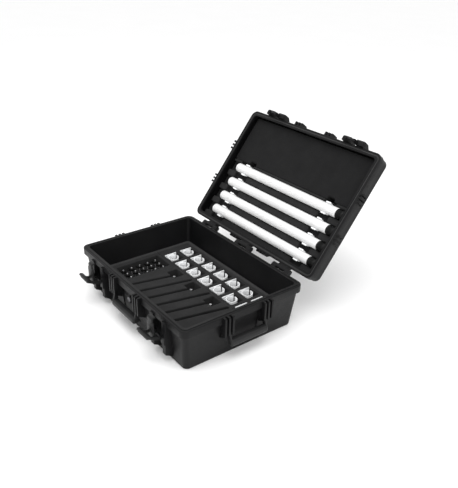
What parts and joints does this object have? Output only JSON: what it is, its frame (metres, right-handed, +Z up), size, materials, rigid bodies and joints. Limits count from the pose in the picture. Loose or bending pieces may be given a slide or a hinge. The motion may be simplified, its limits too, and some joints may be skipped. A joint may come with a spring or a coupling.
{
  "type": "led light tube kit",
  "caption": "Open hard carrying case with white LED light tubes clipped into its lid and a foam tray of spare tube clamps and small fittings in its base.",
  "frame": {"origin": "centre of the underside of the base", "axes": "+X along the case, to the right seen from the latches; -Y towards the latches, +Y towards the hinges; +Z up"},
  "size_m": [0.68, 0.8629, 0.5523],
  "materials": {
    "case_plastic": "matte",
    "fittings_plastic": "satin",
    "steel": "satin",
    "black_steel": "satin",
    "valve_metal": "satin",
    "gasket_rubber": "matte",
    "dark_foam": "matte",
    "tray_foam": "matte",
    "clip_plastic": "gloss",
    "black_parts": "satin",
    "diffuser": "satin",
    "white_cap": "satin",
    "black_cap": "satin",
    "aluminium": "satin",
    "light_board": "satin",
    "battery": "satin"
  },
  "bodies": {
    "base": {"base_foam": "dark_foam", "base_shell": "case_plastic", "bracket_screws": "steel", "bracket_set_1": "black_parts", "bracket_set_2": "black_parts", "bracket_set_3": "black_parts", "cell_tray": "tray_foam", "eye_bolt_heads": "black_parts", "eye_bolt_shanks": "steel", "handle_pins": "black_steel", "hinge_pins": "black_steel", "latch_pins": "black_steel", "pressure_valve": "valve_metal", "slot_tray": "tray_foam", "spare_clamps_back": "clip_plastic", "spare_clamps_front": "clip_plastic", "tray_border": "tray_foam"},
    "lid": {"lid_shell": "case_plastic", "lid_gasket": "gasket_rubber", "keeper_pins": "black_steel", "lid_pad": "dark_foam", "lid_bed": "tray_foam", "tube_clips_left": "clip_plastic", "tube_clips_right": "clip_plastic"},
    "light_tube_1": {"tube_1_battery_cells": "battery", "tube_1_control_cap": "black_cap", "tube_1_diffuser": "diffuser", "tube_1_end_cap": "white_cap", "tube_1_light_board": "light_board", "tube_1_spine": "aluminium"},
    "light_tube_2": {"tube_2_battery_cells": "battery", "tube_2_control_cap": "black_cap", "tube_2_diffuser": "diffuser", "tube_2_end_cap": "white_cap", "tube_2_light_board": "light_board", "tube_2_spine": "aluminium"},
    "light_tube_3": {"tube_3_battery_cells": "battery", "tube_3_control_cap": "black_cap", "tube_3_diffuser": "diffuser", "tube_3_end_cap": "white_cap", "tube_3_light_board": "light_board", "tube_3_spine": "aluminium"},
    "light_tube_4": {"tube_4_battery_cells": "battery", "tube_4_control_cap": "black_cap", "tube_4_diffuser": "diffuser", "tube_4_end_cap": "white_cap", "tube_4_light_board": "light_board", "tube_4_spine": "aluminium"},
    "left_lever": {"latch_lever_left": "fittings_plastic", "latch_link_pin_left": "black_steel"},
    "left_hook": {"latch_hook_left": "fittings_plastic"},
    "right_lever": {"latch_lever_right": "fittings_plastic", "latch_link_pin_right": "black_steel"},
    "right_hook": {"latch_hook_right": "fittings_plastic"},
    "front_handle": {"handle_front": "fittings_plastic"},
    "right_handle": {"handle_right": "fittings_plastic"},
    "left_handle": {"handle_left": "fittings_plastic"}
  },
  "joints": [
    {"name": "lid_hinge", "type": "hinge", "parent": "base", "child": "lid", "pos_m": [0, 0.243, 0.1525], "axis": [1, 0, 0], "range_deg": [0, 127.75]},
    {"name": "tube_1_lift", "type": "slide", "parent": "lid", "child": "light_tube_1", "axis": [0, 0.7907, -0.6122], "range_m": [-0.05, 0]},
    {"name": "tube_2_lift", "type": "slide", "parent": "lid", "child": "light_tube_2", "axis": [0, 0.7907, -0.6122], "range_m": [-0.05, 0]},
    {"name": "tube_3_lift", "type": "slide", "parent": "lid", "child": "light_tube_3", "axis": [0, 0.7907, -0.6122], "range_m": [-0.05, 0]},
    {"name": "tube_4_lift", "type": "slide", "parent": "lid", "child": "light_tube_4", "axis": [0, 0.7907, -0.6122], "range_m": [-0.05, 0]},
    {"name": "left_lever_hinge", "type": "hinge", "parent": "base", "child": "left_lever", "pos_m": [-0.192, -0.232, 0.078], "axis": [1, 0, 0], "range_deg": [0, 110]},
    {"name": "left_hook_hinge", "type": "hinge", "parent": "left_lever", "child": "left_hook", "pos_m": [-0.192, -0.24564, 0.08115], "axis": [1, 0, 0], "range_deg": [-110, 0]},
    {"name": "right_lever_hinge", "type": "hinge", "parent": "base", "child": "right_lever", "pos_m": [0.192, -0.232, 0.078], "axis": [1, 0, 0], "range_deg": [0, 110]},
    {"name": "right_hook_hinge", "type": "hinge", "parent": "right_lever", "child": "right_hook", "pos_m": [0.192, -0.24564, 0.08115], "axis": [1, 0, 0], "range_deg": [-110, 0]},
    {"name": "front_handle_hinge", "type": "hinge", "parent": "base", "child": "front_handle", "pos_m": [0, -0.232, 0.0935], "axis": [-1, 0, 0], "range_deg": [0, 95]},
    {"name": "right_handle_hinge", "type": "hinge", "parent": "base", "child": "right_handle", "pos_m": [0.322, 0, 0.0935], "axis": [0, -1, 0], "range_deg": [0, 95]},
    {"name": "left_handle_hinge", "type": "hinge", "parent": "base", "child": "left_handle", "pos_m": [-0.322, 0, 0.0935], "axis": [0, 1, 0], "range_deg": [0, 95]}
  ],
  "couplings": [
    {"joint": "left_hook_hinge", "follows": "left_lever_hinge", "ratio": -1},
    {"joint": "right_hook_hinge", "follows": "right_lever_hinge", "ratio": -1}
  ]
}
